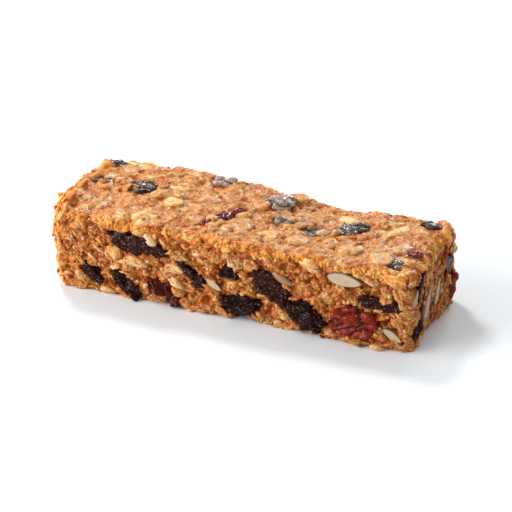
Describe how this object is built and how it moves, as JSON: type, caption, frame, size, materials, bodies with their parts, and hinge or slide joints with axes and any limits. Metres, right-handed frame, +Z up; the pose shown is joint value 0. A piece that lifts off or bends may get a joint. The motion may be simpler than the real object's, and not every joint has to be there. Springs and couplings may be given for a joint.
{
  "type": "granola bar",
  "caption": "Pressed oat and dried-fruit bar: a craggy oblong block with flakes and seeds in relief and raisins and cranberries set in its top and cut sides.",
  "frame": {"origin": "middle of the flat underside of the straight block", "axes": "+Z up; +X along the bar towards the end with the standing kernels; -Y is the long cut side with the row of sliced raisins"},
  "size_m": [0.1049, 0.0351, 0.0252],
  "materials": {
    "oats": "baked oats and syrup, satin",
    "raisin_skin": "wrinkled, glossy",
    "cranberry_skin": "wrinkled, glossy"
  },
  "bodies": {
    "root": {"oat_bar": "oats", "raisin_01": "raisin_skin", "raisin_02": "raisin_skin", "raisin_03": "raisin_skin", "raisin_04": "raisin_skin", "raisin_05": "raisin_skin", "raisin_06": "raisin_skin", "raisin_07": "raisin_skin", "raisin_08": "raisin_skin", "raisin_09": "raisin_skin", "raisin_10": "raisin_skin", "raisin_11": "raisin_skin", "raisin_12": "raisin_skin", "raisin_13": "raisin_skin", "raisin_14": "raisin_skin", "raisin_15": "raisin_skin", "raisin_16": "raisin_skin", "raisin_17": "raisin_skin", "raisin_18": "raisin_skin", "raisin_19": "raisin_skin", "raisin_20": "raisin_skin", "raisin_21": "raisin_skin", "raisin_22": "raisin_skin", "raisin_23": "raisin_skin", "raisin_24": "raisin_skin", "raisin_25": "raisin_skin", "raisin_26": "raisin_skin", "raisin_27": "raisin_skin", "raisin_28": "raisin_skin", "raisin_29": "raisin_skin", "raisin_30": "raisin_skin", "raisin_31": "raisin_skin", "raisin_32": "raisin_skin", "raisin_33": "raisin_skin", "raisin_34": "raisin_skin", "raisin_35": "raisin_skin", "raisin_36": "raisin_skin", "cranberry_01": "cranberry_skin", "cranberry_02": "cranberry_skin", "cranberry_03": "cranberry_skin", "cranberry_04": "cranberry_skin", "cranberry_05": "cranberry_skin", "cranberry_06": "cranberry_skin", "cranberry_07": "cranberry_skin", "cranberry_08": "cranberry_skin", "cranberry_09": "cranberry_skin", "cranberry_10": "cranberry_skin"}
  },
  "joints": []
}
